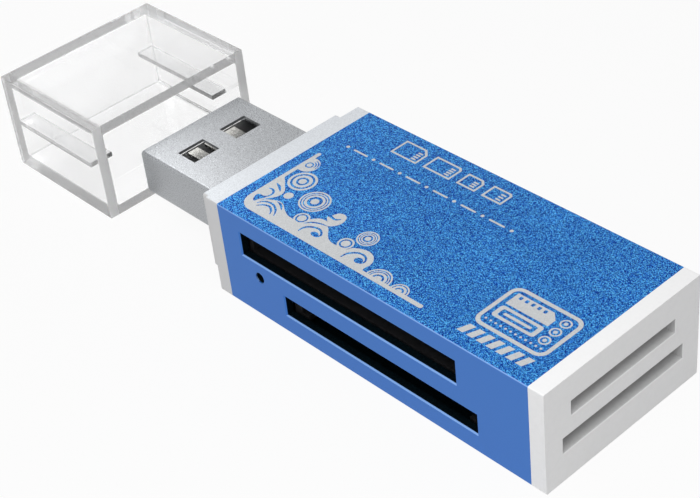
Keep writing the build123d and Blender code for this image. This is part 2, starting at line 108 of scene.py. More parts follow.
# Grey on the cap's ribs, near black on the rib edges and grey over its side walls: painted shade
CLEAR_RIB_SHADE = (0.82, 0.825, 0.83)
CLEAR_RIB_EDGE_SHADE = (0.06, 0.06, 0.06)
CLEAR_WALL_SHADE = (0.58, 0.58, 0.58)
CLEAR_BODY = (0.90, 0.905, 0.91)
CLEAR_SHADOW = (0.95, 0.955, 0.96)
BLACK = (0.006, 0.006, 0.007)
CONTACT = (0.61, 0.60, 0.57)
BOARD_GREEN = (0.010, 0.085, 0.035)
BOARD_TRACE = (0.025, 0.140, 0.060)
CHIP_BLACK = (0.012, 0.012, 0.013)
CAN_STEEL = (0.60, 0.60, 0.58)
CAPACITOR_TAN = (0.27, 0.15, 0.07)
RESISTOR_BLACK = (0.010, 0.010, 0.012)
LAMP_LENS = (0.60, 0.68, 0.62)

# Grain: cells, ripples, patches and runs in a metre, and where noise has its dark, middle and light

FLAKE_SCALE = 19000.0
FINE_SCALE = 12000.0
PATCH_SCALE = 130.0
COVER_SCALE = 2600.0
CLEAR_SCALE = 260.0
RUN_SCALE = 260.0
MASK_SCALE = 1800.0
NOISE_STOPS = (0.30, 0.50, 0.70)

# Moulded and plated finishes: colour, grain scale, roughness, relief in millimetres, contrast, metallic

MOULDED = {
    "black_plastic": (BLACK, 3800.0, (0.45, 0.62), 0.010, (0.70, 1.50), 0.0),
    "contact_metal": (CONTACT, 4200.0, (0.22, 0.36), 0.004, (0.90, 1.08), 1.0),
    "chip_black": (CHIP_BLACK, 6000.0, (0.50, 0.65), 0.006, (0.80, 1.40), 0.0),
    "can_steel": (CAN_STEEL, 3000.0, (0.25, 0.38), 0.004, (0.90, 1.06), 1.0),
    "capacitor_tan": (CAPACITOR_TAN, 5000.0, (0.40, 0.55), 0.004, (0.85, 1.15), 0.0),
    "resistor_black": (RESISTOR_BLACK, 5000.0, (0.30, 0.45), 0.004, (0.80, 1.30), 0.0),
    "lamp_lens": (LAMP_LENS, 3000.0, (0.20, 0.32), 0.003, (0.94, 1.04), 0.0),
}
MOULDED_BUMP = 0.3

# Blasted finishes: colours of the broad and of the narrow faces, contrast, roughness, metallic

BLASTED = {
    # The bezel's narrow faces take the painted-shade copy of its silver
    "silver_plastic": (BEZEL_SILVER, BEZEL_SIDE_SHADE, (0.84, 1.12), (0.32, 0.44), 0.30),
    "plug_steel": (STEEL, STEEL, (0.66, 1.34), (0.24, 0.34), 0.75),
    "print_silver": (PRINT_SILVER, PRINT_SILVER, (0.86, 1.12), (0.40, 0.50), 0.50),
}
BLASTED_STOPS = (0.0, 0.6, 1.0)
BLASTED_EVEN = (0.98, 1.02)
BLASTED_BUMP = 0.25
BLASTED_RELIEF = 0.005

# Dyed aluminium

BLUE_STOPS = (0.28, 0.58, 0.88)
BLUE_EVEN = (0.96, 1.04)
BLUE_ROUGH = (0.40, 0.50)
BLUE_METALLIC = 0.65
BLUE_SPECULAR = 0.10
BLUE_BUMP = 0.25
BLUE_RELIEF = 0.010
# Where the painted shade inside the sleeve runs from its dark to its flecks
INSIDE_SHADE_STOPS = (0.55, 1.0)

# White plastic

COVER_EVEN = (0.985, 1.01)
SLOT_EVEN = (0.96, 1.03)
COVER_ROUGH = (0.36, 0.46)
COVER_RELIEF = 0.006

# Clear plastic: how it bends light, its grey body, and the share of light that passes straight

CLEAR_IOR = 1.49
CLEAR_SPECULAR = 0.2
CLEAR_ROUGH = (0.010, 0.025)
CLEAR_RIM_ROUGH = 0.45
CLEAR_DENSITY = 110.0
CLEAR_SHARE = 0.105

# Solder mask

RUN_BEND = 5.0
RUN_DETAIL = 1.0
RUN_STOPS = (0.45, 0.55)
BOARD_ROUGH = (0.30, 0.42)
BOARD_RELIEF = 0.010

# Where a finish, a painted highlight or painted shade changes: how far a face looks up, and depths in
# millimetres inside a node's box

BROAD_FACES = (0.80, 0.97)
NARROW_FACES = (0.30, 0.80)
# How far a face looks up where the painted highlight on the rounded edges begins
EDGE_HIGHLIGHT_FACING = (0.10, 0.30)
# Depths inside the sleeve's box at which its painted shade begins
SLEEVE_SHADE_DEPTHS = (0.10, 0.13)
SLOT_ACROSS = (0.80, 1.00)
SLOT_ALONG = (0.01, 0.05)
CAP_RIBS = (1.10, 1.20)
CAP_SIDES = (0.90, 1.05)
CAP_RIM = (0.05, 0.10)

# Print: ink above and below the sleeve's top, and the distance at which corners join, in millimetres

PRINT_TOP = 0.006
PRINT_SUNK = 0.006
PRINT_JOIN = 0.0005

# Print, the ornament's rail: its middle line's corner, bend, upper end and right end

RAIL_WIDTH = 0.42
RAIL_CORNER = (-16.15, -7.53)
RAIL_RADIUS = 1.30
RAIL_RISE = 9.05
RAIL_RUN = 21.42

# Print, the ornament's rings and ripples: place from the rail's corner and radii

RINGS = (
    (1.94, 5.39, (1.32, 1.09, 0.88, 0.57, 0.36)),
    (4.94, 4.06, (1.42, 1.26, 1.14, 1.02, 0.91, 0.68, 0.38)),
    (12.12, 3.35, (0.97, 0.83, 0.74, 0.64, 0.56, 0.44, 0.27)),
    (5.83, 1.79, (0.72, 0.56, 0.40)),
    (11.18, 1.75, (0.73, 0.56, 0.40)),
    (2.55, 3.23, (0.44,)),
)
RIPPLES = (
    (16.44, 0.20, (1.24, 1.10, 0.99, 0.90, 0.79, 0.56, 0.37)),
    (18.82, 0.20, (0.88, 0.75, 0.64, 0.43, 0.26)),
)

# Print, the row of cards: corner, width, height, cut corner and count of contacts

CARDS = (
    (-11.60, 5.75, 3.05, 2.15, 0.62, 4),
    (-7.80, 5.85, 3.10, 1.95, 0.30, 4),
    (-3.95, 5.95, 2.10, 1.70, 0.42, 3),
    (-1.10, 5.95, 2.20, 1.75, 0.26, 3),
)
CARD_LINE = 0.20
CARD_CUT_LESS = 0.08
CARD_MARGIN = 0.45
PAD_START = 0.95
PAD_END = 0.42
PAD_HALF = 0.09
PAD_RADIUS = 0.06

# Print, the rule of dots and dashes

RULE_START = (-15.0, 3.95)
RULE_STEP = 1.6
RULE_MARKS = 13
RULE_DOT = 0.17
RULE_DOT_SIDES = 20
DASH_HALF = (0.85, 0.10)
DASH_RADIUS = 0.09

# Print, the badge: rounded fields as two corners and a radius, a card, its pads, dials and dots

BADGE_FIELDS = ((9.20, -6.18, 16.32, -0.86, 0.95), (9.56, -5.82, 15.96, -1.22, 0.62))
BADGE_CARD = [(9.95, -3.08), (14.20, -3.08), (14.20, -2.20), (13.55, -1.55), (9.95, -1.55)]
BADGE_PAD = (10.35, -2.10, 10.65, -1.73, 0.08)
BADGE_PAD_STEP = 0.62
BADGE_PADS = 5
BADGE_SLOT = (
    (9.95, -4.78, 14.20, -3.34, 0.30),
    (10.35, -4.48, 13.80, -3.64, 0.16),
    (10.70, -4.20, 13.45, -3.92, 0.12),
)
DIAL_START = (15.08, -2.02)
DIAL_STEP = 1.20
DIALS = 3
DIAL_RADII = (0.50, 0.36, 0.18)
DOT_START = (10.0, -5.30)
DOT_STEP = 0.50
DOTS = 12
DOT_RADIUS = 0.11
DOT_SIDES = 16

# Print, the slanted bars

BAR_START = (9.2, -7.68)
BAR_STEP = 0.98
BARS = 7
BAR_WIDTH = 0.62
BAR_HEIGHT = 1.12
BAR_LEAN = 0.40


# Shader helpers


def new_material(name):
    """A material, its node tree and its main shader."""
    material = bpy.data.materials.new(name)
    material.use_nodes = True
    tree = material.node_tree
    return material, tree, tree.nodes["Principled BSDF"]


def add_node(tree, kind, **values):
    """A node with its input sockets set by name."""
    node = tree.nodes.new(kind)
    for name, value in values.items():
        node.inputs[name.replace("_", " ")].default_value = value
    return node


def object_coordinates(tree):
    """Places on a piece, which move with it."""
    return tree.nodes.new("ShaderNodeTexCoord").outputs["Object"]


def noise(tree, vector, scale, detail=2.0):
    """Soft noise with features of about 1/scale metres."""
    node = add_node(tree, "ShaderNodeTexNoise", Scale=scale, Detail=detail)
    tree.links.new(vector, node.inputs["Vector"])
    return node.outputs["Fac"]


def flakes(tree, vector, scale):
    """An even random value for each small cell."""
    node = add_node(tree, "ShaderNodeTexVoronoi", Scale=scale)
    tree.links.new(vector, node.inputs["Vector"])
    split = tree.nodes.new("ShaderNodeSeparateColor")
    tree.links.new(node.outputs["Color"], split.inputs["Color"])
    return split.outputs["Red"]


def ramp(tree, factor, positions, colours):
    """A colour ramp with a colour at each position."""
    node = tree.nodes.new("ShaderNodeValToRGB")
    elements = node.color_ramp.elements
    while len(elements) < len(positions):
        elements.new(0.5)
    for element, position, colour in zip(elements, positions, colours):
        element.position = position
        element.color = (*colour, 1.0)
    tree.links.new(factor, node.inputs["Fac"])
    return node.outputs["Color"]


def spread(tree, value, low, high, first=NOISE_STOPS[0], last=NOISE_STOPS[-1]):
    """Maps a value from first..last onto low..high."""
    node = add_node(tree, "ShaderNodeMapRange", From_Min=first, From_Max=last, To_Min=low, To_Max=high)
    tree.links.new(value, node.inputs["Value"])
    return node.outputs["Result"]


def blend(tree, factor, first, second, kind="MIX"):
    """A mix of two colours by a factor."""
    node = tree.nodes.new("ShaderNodeMix")
    node.data_type = "RGBA"
    node.blend_type = kind
    for socket, source in (("Factor", factor), ("A", first), ("B", second)):
        target = next(entry for entry in node.inputs if entry.name == socket and entry.enabled)
        if isinstance(source, (float, tuple)):
            target.default_value = source
        else:
            tree.links.new(source, target)
    return next(entry for entry in node.outputs if entry.enabled)


def maths(tree, operation, first, second=0.0):
    """A sum on two values, or on one."""
    node = tree.nodes.new("ShaderNodeMath")
    node.operation = operation
    for target, source in zip(node.inputs, (first, second)):
        if isinstance(source, float):
            target.default_value = source
        else:
            tree.links.new(source, target)
    return node.outputs[0]


def bump(tree, shader, height, strength, relief):
    """A fine relief on the surface, in millimetres."""
    node = add_node(tree, "ShaderNodeBump", Strength=strength, Distance=relief * MM)
    tree.links.new(height, node.inputs["Height"])
    tree.links.new(node.outputs["Normal"], shader.inputs["Normal"])


def scaled(colour, factor):
    """A colour made darker or lighter, no brighter than white."""
    return tuple(min(1.0, channel * factor) for channel in colour)


def grained(tree, grain, colour, contrast):
    """A colour that runs from darker to lighter with soft grain."""
    dark, light = contrast
    return ramp(tree, grain, NOISE_STOPS, [scaled(colour, factor) for factor in (dark, 1.0, light)])


def upward(tree):
    """How far a face looks up or down: 1 on the broad faces, 0 on the narrow ones."""
    facing = tree.nodes.new("ShaderNodeSeparateXYZ")
    tree.links.new(tree.nodes.new("ShaderNodeTexCoord").outputs["Normal"], facing.inputs["Vector"])
    return maths(tree, "ABSOLUTE", facing.outputs["Z"])


def depth_inside(tree, place, node, axes):
    """How deep a place lies inside a node's box, in metres from the nearest face across the given axes."""
    low, high = (dict(zip("XYZ", corner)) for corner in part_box(node))
    split = tree.nodes.new("ShaderNodeSeparateXYZ")
    tree.links.new(place, split.inputs["Vector"])
    depths = []
    for axis in axes:
        off = maths(tree, "SUBTRACT", split.outputs[axis], (low[axis] + high[axis]) / 2)
        half = (high[axis] - low[axis]) / 2
        depths.append(maths(tree, "SUBTRACT", half, maths(tree, "ABSOLUTE", off)))
    depth = depths[0]
    for other in depths[1:]:
        depth = maths(tree, "MINIMUM", depth, other)
    return depth


def deeper(tree, place, node, axes, depths):
    """A share that grows from 0 to 1 between two depths inside a node's box."""
    first, last = depths
    return spread(tree, depth_inside(tree, place, node, axes), 0.0, 1.0, first * MM, last * MM)


def nearer(tree, place, node, axes, depths):
    """A share that falls from 1 to 0 between two depths inside a node's box."""
    first, last = depths
    return spread(tree, depth_inside(tree, place, node, axes), 1.0, 0.0, first * MM, last * MM)


def seen_rays(tree, plain, through, glossy):
    """How much of the white surroundings a ray sees: plainly, through clear plastic or in gloss."""
    path = tree.nodes.new("ShaderNodeLightPath")
    shares = (("Is Camera Ray", plain), ("Is Transmission Ray", through), ("Is Glossy Ray", glossy))
    seen = [maths(tree, "MULTIPLY", path.outputs[kind], share) for kind, share in shares]
    return maths(tree, "MAXIMUM", maths(tree, "MAXIMUM", seen[0], seen[1]), seen[2])


def mixed(tree, factor, first, second):
    """A mix of two shaders' outputs by a factor."""
    node = tree.nodes.new("ShaderNodeMixShader")
    if isinstance(factor, float):
        node.inputs["Fac"].default_value = factor
    else:
        tree.links.new(factor, node.inputs["Fac"])
    tree.links.new(first, node.inputs[1])
    tree.links.new(second, node.inputs[2])
    return node.outputs["Shader"]


# Materials


def moulded(name, colour, scale, rough, relief, contrast, metallic):
    """A moulded, pressed or plated surface with soft grain in its colour, gloss and relief."""
    material, tree, shader = new_material(name)
    grain = noise(tree, object_coordinates(tree), scale)
    tree.links.new(grained(tree, grain, colour, contrast), shader.inputs["Base Color"])
    tree.links.new(spread(tree, grain, *rough), shader.inputs["Roughness"])
    shader.inputs["Metallic"].default_value = metallic
    bump(tree, shader, grain, MOULDED_BUMP, relief)
    return material


def blasted(name, colour, side, contrast, rough, metallic):
    """A metal or pearly surface, with sparkling grain on its broad faces and even on its narrow ones."""
    material, tree, shader = new_material(name)
    place = object_coordinates(tree)
    soft = noise(tree, place, FINE_SCALE)
    dark, light = (scaled(colour, factor) for factor in contrast)
    sparkle = ramp(tree, flakes(tree, place, FLAKE_SCALE), BLASTED_STOPS, (dark, colour, light))
    # The narrow faces take the side colour, which for the bezel is painted shade
    even = grained(tree, soft, side, BLASTED_EVEN)
    broad = spread(tree, upward(tree), 0.0, 1.0, *BROAD_FACES)
    tree.links.new(blend(tree, broad, even, sparkle), shader.inputs["Base Color"])
    tree.links.new(spread(tree, soft, *rough), shader.inputs["Roughness"])
    shader.inputs["Metallic"].default_value = metallic
    bump(tree, shader, soft, BLASTED_BUMP, BLASTED_RELIEF)
    return material


def anodised_blue():
    """Dyed aluminium: sparkling on the broad faces, even and painted lighter on the narrow ones, a painted
    highlight on the edges and painted shade inside.
    """
    material, tree, shader = new_material("anodised_blue")
    place = object_coordinates(tree)
    grain = flakes(tree, place, FLAKE_SCALE)
    patch = noise(tree, place, PATCH_SCALE)
    soft = noise(tree, place, FINE_SCALE)
    sparkle = ramp(tree, grain, BLUE_STOPS, (BLUE_DEEP, BLUE, BLUE_BRIGHT))
    patches = ramp(tree, patch, (NOISE_STOPS[0], NOISE_STOPS[-1]), (PATCH_DARK, WHITE))
    sparkle = blend(tree, 1.0, sparkle, patches, "MULTIPLY")
    # Even grain on the narrow faces, in the lighter painted-light copy of the blue
    even = grained(tree, soft, BLUE_SIDE_PAINTED_LIGHT, BLUE_EVEN)
    facing = upward(tree)
    # Painted highlight on the rounded edges, between the narrow and the broad faces
    edge_highlight = spread(tree, facing, 0.0, 1.0, *EDGE_HIGHLIGHT_FACING)
    broad = spread(tree, facing, 0.0, 1.0, *BROAD_FACES)
    colour = blend(tree, edge_highlight, even, (*BLUE_EDGE_HIGHLIGHT, 1.0))
    colour = blend(tree, broad, colour, sparkle)
    # Painted shade, near black, on the faces inside the sleeve
    inside_shade = ramp(tree, grain, INSIDE_SHADE_STOPS, (INSIDE_SHADE, INSIDE_SHADE_FLECK))
    shaded_inside = deeper(tree, place, "shell_sleeve", "YZ", SLEEVE_SHADE_DEPTHS)
    tree.links.new(blend(tree, shaded_inside, colour, inside_shade), shader.inputs["Base Color"])
    tree.links.new(spread(tree, soft, *BLUE_ROUGH), shader.inputs["Roughness"])
    shader.inputs["Metallic"].default_value = BLUE_METALLIC
    shader.inputs["Specular IOR Level"].default_value = BLUE_SPECULAR
    bump(tree, shader, soft, BLUE_BUMP, BLUE_RELIEF)
    return material


def white_plastic():
    """Moulded white plastic, with painted shade in grey on the walls inside the card slots."""
    material, tree, shader = new_material("white_plastic")
    place = object_coordinates(tree)
    soft = noise(tree, place, COVER_SCALE)
    across = deeper(tree, place, "end_cover", "YZ", SLOT_ACROSS)
    along = deeper(tree, place, "end_cover", "X", SLOT_ALONG)
    colour = grained(tree, soft, COVER_WHITE, COVER_EVEN)
    # Painted shade in grey on the walls inside the card slots
    walls = grained(tree, soft, SLOT_SHADE_GREY, SLOT_EVEN)
    in_slots = maths(tree, "MULTIPLY", across, along)
    tree.links.new(blend(tree, in_slots, colour, walls), shader.inputs["Base Color"])
    tree.links.new(spread(tree, soft, *COVER_ROUGH), shader.inputs["Roughness"])
    bump(tree, shader, soft, MOULDED_BUMP, COVER_RELIEF)
    return material


def clear_plastic():
    """Clear plastic that lets lamps through, with painted shade: grey over its side walls and ribs and near
    black on the rib edges; duller on its rim.
    """
    material, tree, shader = new_material("clear_plastic")
    place = object_coordinates(tree)
    facing = upward(tree)
    ribs = deeper(tree, place, "clear_cap", "XYZ", CAP_RIBS)
    sides = nearer(tree, place, "clear_cap", "Y", CAP_SIDES)
    rim = nearer(tree, place, "clear_cap", "X", CAP_RIM)
    # Painted shade on the ribs, on their edges and on the plastic over the side walls
    rib_edge_shade = maths(tree, "MULTIPLY", ribs, spread(tree, facing, 1.0, 0.0, *NARROW_FACES))
    wall_shade = maths(tree, "MULTIPLY", sides, spread(tree, facing, 0.0, 1.0, *BROAD_FACES))
    colour = blend(tree, ribs, (*CLEAR, 1.0), (*CLEAR_RIB_SHADE, 1.0))
    colour = blend(tree, rib_edge_shade, colour, (*CLEAR_RIB_EDGE_SHADE, 1.0))
    colour = blend(tree, wall_shade, colour, (*CLEAR_WALL_SHADE, 1.0))
    tree.links.new(colour, shader.inputs["Base Color"])
    polish = spread(tree, noise(tree, place, CLEAR_SCALE), *CLEAR_ROUGH)
    dull = maths(tree, "MULTIPLY", maths(tree, "MULTIPLY", rim, sides), CLEAR_RIM_ROUGH)
    tree.links.new(maths(tree, "ADD", polish, dull), shader.inputs["Roughness"])
    shader.inputs["Transmission Weight"].default_value = 1.0
    shader.inputs["IOR"].default_value = CLEAR_IOR
    shader.inputs["Specular IOR Level"].default_value = CLEAR_SPECULAR
    path = tree.nodes.new("ShaderNodeLightPath")
    straight = tree.nodes.new("ShaderNodeBsdfTransparent")
    shadow = add_node(tree, "ShaderNodeBsdfTransparent", Color=(*CLEAR_SHADOW, 1.0))
    thin = mixed(tree, CLEAR_SHARE, shader.outputs["BSDF"], straight.outputs["BSDF"])
    surface = mixed(tree, path.outputs["Is Shadow Ray"], thin, shadow.outputs["BSDF"])
    body = add_node(tree, "ShaderNodeVolumeAbsorption", Color=(*CLEAR_BODY, 1.0), Density=CLEAR_DENSITY)
    output = tree.nodes["Material Output"]
    tree.links.new(surface, output.inputs["Surface"])
    tree.links.new(body.outputs["Volume"], output.inputs["Volume"])
    return material


def board_green():
    """Solder mask over copper runs."""
    material, tree, shader = new_material("board_green")
    place = object_coordinates(tree)
    wave = add_node(tree, "ShaderNodeTexWave", Scale=RUN_SCALE, Distortion=RUN_BEND, Detail=RUN_DETAIL)
    tree.links.new(place, wave.inputs["Vector"])
    runs = ramp(tree, wave.outputs["Fac"], RUN_STOPS, (BOARD_GREEN, BOARD_TRACE))
    tree.links.new(runs, shader.inputs["Base Color"])
    soft = noise(tree, place, MASK_SCALE)
    tree.links.new(spread(tree, soft, *BOARD_ROUGH), shader.inputs["Roughness"])
    bump(tree, shader, wave.outputs["Fac"], MOULDED_BUMP, BOARD_RELIEF)
    return material


finishes = {
    "anodised_blue": anodised_blue(),
    "white_plastic": white_plastic(),
    "clear_plastic": clear_plastic(),
    "board_green": board_green(),
}
finishes.update((name, moulded(name, *values)) for name, values in MOULDED.items())
finishes.update((name, blasted(name, *values)) for name, values in BLASTED.items())

slots = {part["node"]: part["material_slot"] for part in frame["record"]["subparts"]}
for name, node in nodes.items():
    node.data.materials.clear()
    node.data.materials.append(finishes[slots[name]])


# Outlines for the print: each shape is (outline, inked), and later shapes are drawn over earlier ones


def oval(x, y, wide, high, count=40):
    """An oval's outline, from its two radii."""
    turns = [2 * math.pi * step / count for step in range(count)]
    return [(x + wide * math.cos(turn), y + high * math.sin(turn)) for turn in turns]


def circle(x, y, radius, count=40):
    """A disc's outline."""
    return oval(x, y, radius, radius, count)


def arc(x, y, radius, first, last, count=24):
    """Points along an arc, angles in degrees."""
    turns = [math.radians(first + (last - first) * step / count) for step in range(count + 1)]
    return [(x + radius * math.cos(turn), y + radius * math.sin(turn)) for turn in turns]


def rounded(x0, y0, x1, y1, radius, count=6):
    """A rectangle with rounded corners."""
    outline = []
    for x, y, first in ((x1, y1, 0), (x0, y1, 90), (x0, y0, 180), (x1, y0, 270)):
        cx = x - radius if x == x1 else x + radius
        cy = y - radius if y == y1 else y + radius
        outline += arc(cx, cy, radius, first, first + 90, count)
    return outline


def between(p, q, r, s, t):
    """A smooth value from q to r at a share t of the way, led by the values before and after."""
    bend = (2 * p - 5 * q + 4 * r - s) * t ** 2 + (3 * q - p - 3 * r + s) * t ** 3
    return 0.5 * (2 * q + (r - p) * t + bend)


def smooth(points, closed=False, steps=8):
    """A smooth curve through the points."""
    count = len(points)
    curve = []
    for span in range(count if closed else count - 1):
        around = range(span - 1, span + 3)
        if closed:
            led = [points[index % count] for index in around]
        else:
            led = [points[min(max(index, 0), count - 1)] for index in around]
        for step in range(steps):
            curve.append(tuple(between(*values, step / steps) for values in zip(*led)))
    if not closed:
        curve.append(tuple(points[-1]))
    return curve


def end_cap(start, end, count=5):
    """The half circle that closes a stroke, from one corner round to the other."""
    mx, my = (start[0] + end[0]) / 2, (start[1] + end[1]) / 2
    radius = math.hypot(start[0] - mx, start[1] - my)
    first = math.atan2(start[1] - my, start[0] - mx)
    turns = [first - math.pi * step / (count + 1) for step in range(1, count + 1)]
    return [(mx + radius * math.cos(turn), my + radius * math.sin(turn)) for turn in turns]


def stroke(line, widths):
    """A line drawn with a round-ended pen whose width runs evenly through the given widths."""
    lengths = [0.0]
    for (ax, ay), (bx, by) in zip(line, line[1:]):
        lengths.append(lengths[-1] + math.hypot(bx - ax, by - ay))
    left, right = [], []
    for index, (x, y) in enumerate(line):
        ax, ay = line[max(index - 1, 0)]
        bx, by = line[min(index + 1, len(line) - 1)]
        run = math.hypot(bx - ax, by - ay)
        nx, ny = (ay - by) / run, (bx - ax) / run
        place = lengths[index] / lengths[-1] * (len(widths) - 1)
        low = min(int(place), len(widths) - 2)
        half = (widths[low] + (widths[low + 1] - widths[low]) * (place - low)) / 2
        left.append((x + nx * half, y + ny * half))
        right.append((x - nx * half, y - ny * half))
    return left + end_cap(left[-1], right[-1]) + right[::-1] + end_cap(right[0], left[0])


def rings(x, y, radii):
    """Concentric discs, inked and bare in turn from the outside."""
    return [(circle(x, y, radius), index % 2 == 0) for index, radius in enumerate(radii)]


def ripple(x, y, radii):
    """Half rings that rise from a level line, inked and bare in turn from the outside."""
    return [(arc(x, y, radius, 0, 180), index % 2 == 0) for index, radius in enumerate(radii)]


def mass(*points):
    """An inked shape with a smooth outline through the points."""
    return smooth(points, closed=True), True


def hollow(*points):
    """A bare shape with a smooth outline through the points."""
    return smooth(points, closed=True), False


def groove(widths, *points):
    """A bare line through the points, drawn with a pen of the given widths."""
    return stroke(smooth(points), widths), False


def placed(shapes, x, y):
    """The same shapes, moved to a place."""
    return [([(px + x, py + y) for px, py in outline], inked) for outline, inked in shapes]


# Corner ornament, in millimetres from the corner of its rail


def climbing_wave():
    """The wave in the corner, with a crescent, a hook and a drop cut out of it."""
    return [
        mass((0.00, 5.10), (0.30, 4.78), (0.72, 4.45), (1.22, 4.00), (1.72, 3.55), (1.95, 3.00),
             (1.82, 2.40), (1.47, 1.90), (1.17, 1.40), (1.02, 0.80), (0.90, 0.30), (0.42, 0.45),
             (0.00, 1.20), (0.00, 3.30)),
        groove((0.10, 0.26, 0.22, 0.08),
               (0.42, 3.81), (0.89, 3.64), (1.28, 3.37), (1.50, 3.20)),
        groove((0.12, 0.22, 0.20, 0.17, 0.15),
               (0.44, 2.92), (0.78, 2.98), (1.11, 2.81), (1.28, 2.48), (1.22, 2.09), (1.05, 1.88)),
        hollow((0.26, 1.60), (0.42, 1.84), (0.87, 1.88), (1.17, 2.02), (1.14, 1.68), (0.93, 1.32),
               (0.78, 0.88), (0.45, 1.10)),
    ]


def swell():
    """The long wave beside the corner, with three lines that follow its back."""
    return [
        mass((0.82, 0.80), (1.12, 1.25), (1.44, 1.65), (2.11, 2.05), (2.66, 2.20), (3.22, 2.05),
             (3.89, 1.62), (4.55, 1.33), (5.11, 1.26), (5.82, 1.30), (6.42, 1.50), (6.92, 0.50),
             (6.92, 0.00), (1.32, 0.00)),
        groove((0.10, 0.20, 0.20, 0.20, 0.08),
               (1.22, 0.88), (1.50, 1.31), (2.00, 1.53), (2.55, 1.53), (3.11, 1.26), (3.50, 0.87),
               (3.70, 0.53)),
        groove((0.10, 0.20, 0.20, 0.21, 0.08),
               (1.50, 0.59), (1.78, 0.92), (2.22, 1.14), (2.66, 1.09), (3.05, 0.81), (3.28, 0.46)),
        groove((0.06, 0.21, 0.21, 0.06),
               (2.44, 2.03), (2.89, 1.98), (3.28, 1.76), (3.61, 1.48)),
    ]


def crest():
    """The foam over the second wave, which ends in a curl."""
    return [
        mass((6.27, 1.75), (6.61, 2.31), (7.00, 2.70), (7.44, 2.83), (7.87, 2.78), (8.32, 2.30),
             (7.62, 1.90), (6.62, 1.10)),
        mass((7.34, 3.28), (7.52, 3.65), (7.62, 3.95), (7.80, 4.24), (8.27, 4.39), (8.72, 4.17),
             (8.95, 3.60), (8.87, 3.05), (8.54, 2.58), (8.17, 2.40), (7.82, 2.82)),
        groove((0.40, 0.28, 0.23, 0.21, 0.14),
               (7.22, 3.57), (7.67, 3.47), (8.02, 3.42), (8.30, 3.53), (8.44, 3.72)),
    ]


def second_wave():
    """The wave under the crest, whose back runs out level."""
    return [
        mass((6.32, 1.40), (6.72, 1.78), (7.22, 2.08), (7.77, 2.28), (8.27, 2.38), (8.72, 2.12),
             (9.12, 1.70), (9.62, 1.30), (10.12, 1.12), (10.62, 1.10), (11.02, 1.20), (11.62, 1.20),
             (12.02, 1.40), (12.22, 0.90), (12.22, 0.00), (6.92, 0.00)),
        groove((0.08, 0.17, 0.17, 0.15, 0.06),
               (6.50, 1.45), (6.77, 1.82), (7.22, 2.12), (7.77, 2.31), (8.27, 2.38)),
        groove((0.12, 0.22, 0.22, 0.20, 0.19, 0.14),
               (6.87, 0.48), (6.87, 0.90), (7.09, 1.30), (7.55, 1.59), (8.09, 1.69), (8.55, 1.50),
               (8.80, 1.18), (8.67, 0.88), (8.37, 0.78)),
        (oval(8.27, 1.00, 0.40, 0.27), False),
    ]


def third_wave():
    """The last breaking wave, whose back falls to the rail."""
    return [
        mass((11.92, 1.45), (12.32, 1.88), (12.92, 2.14), (13.52, 2.22), (14.12, 2.03), (14.57, 1.58),
             (14.75, 1.05), (14.67, 0.55), (14.75, 0.20), (15.00, 0.00), (11.92, 0.00)),
        groove((0.12, 0.22, 0.22, 0.20, 0.19, 0.14),
               (12.14, 0.32), (12.17, 0.70), (12.32, 1.05), (12.72, 1.45), (13.17, 1.62), (13.62, 1.58),
               (13.97, 1.35), (14.12, 1.00), (13.97, 0.70)),
        (oval(13.60, 0.88, 0.40, 0.35), False),
    ]


def top_curl():
    """The half disc near the rail's upper end, with an eye and two lines around it."""
    return [
        (arc(0.46, 7.41, 1.04, -110, 110), True),
        (stroke(arc(0.58, 7.42, 0.80, -5, 85), (0.06, 0.15, 0.06)), False),
        (stroke(arc(0.58, 7.42, 0.58, -5, 85), (0.06, 0.15, 0.06)), False),
        (circle(0.58, 7.42, 0.40), False),
        (circle(0.58, 7.42, 0.26), True),
    ]


def corner_ornament():
    """Waves, rings and ripples along a bent rail."""
    shapes = top_curl() + swell() + climbing_wave() + crest() + second_wave() + third_wave()
    for ring in RINGS:
        shapes += rings(*ring)
    for half_ring in RIPPLES:
        shapes += ripple(*half_ring)
    bend = arc(RAIL_RADIUS, RAIL_RADIUS, RAIL_RADIUS, 180, 270, 10)
    rail = [(0.0, RAIL_RISE)] + bend + [(RAIL_RUN, 0.0)]
    shapes.append((stroke(rail, (RAIL_WIDTH, RAIL_WIDTH)), True))
    return placed(shapes, *RAIL_CORNER)


# Other print


def card(x, y, width, height, cut, contacts):
    """A memory card's outline with a cut corner and its contact strips."""
    def outline(inset, corner):
        x0, y0, x1, y1 = x + inset, y + inset, x + width - inset, y + height - inset
        return [(x0, y0), (x1, y0), (x1, y1 - corner), (x1 - corner, y1), (x0, y1)]
    shapes = [(outline(0.0, cut), True), (outline(CARD_LINE, cut - CARD_CUT_LESS), False)]
    right = x + width
    step = (height - 2 * CARD_MARGIN - cut / 2) / (contacts - 1)
    for index in range(contacts):
        middle = y + CARD_MARGIN + step * index
        pad = rounded(right - PAD_START, middle - PAD_HALF, right - PAD_END, middle + PAD_HALF, PAD_RADIUS)
        shapes.append((pad, True))
    return shapes


def card_row():
    """Four cards side by side."""
    return [shape for sizes in CARDS for shape in card(*sizes)]


def dot_rule():
    """A level rule of dots and dashes in turn."""
    start, y = RULE_START
    wide, high = DASH_HALF
    shapes = []
    for index in range(RULE_MARKS):
        x = start + RULE_STEP * index
        if index % 2 == 0:
            shapes.append((circle(x, y, RULE_DOT, RULE_DOT_SIDES), True))
        else:
            shapes.append((rounded(x - wide, y - high, x + wide, y + high, DASH_RADIUS), True))
    return shapes


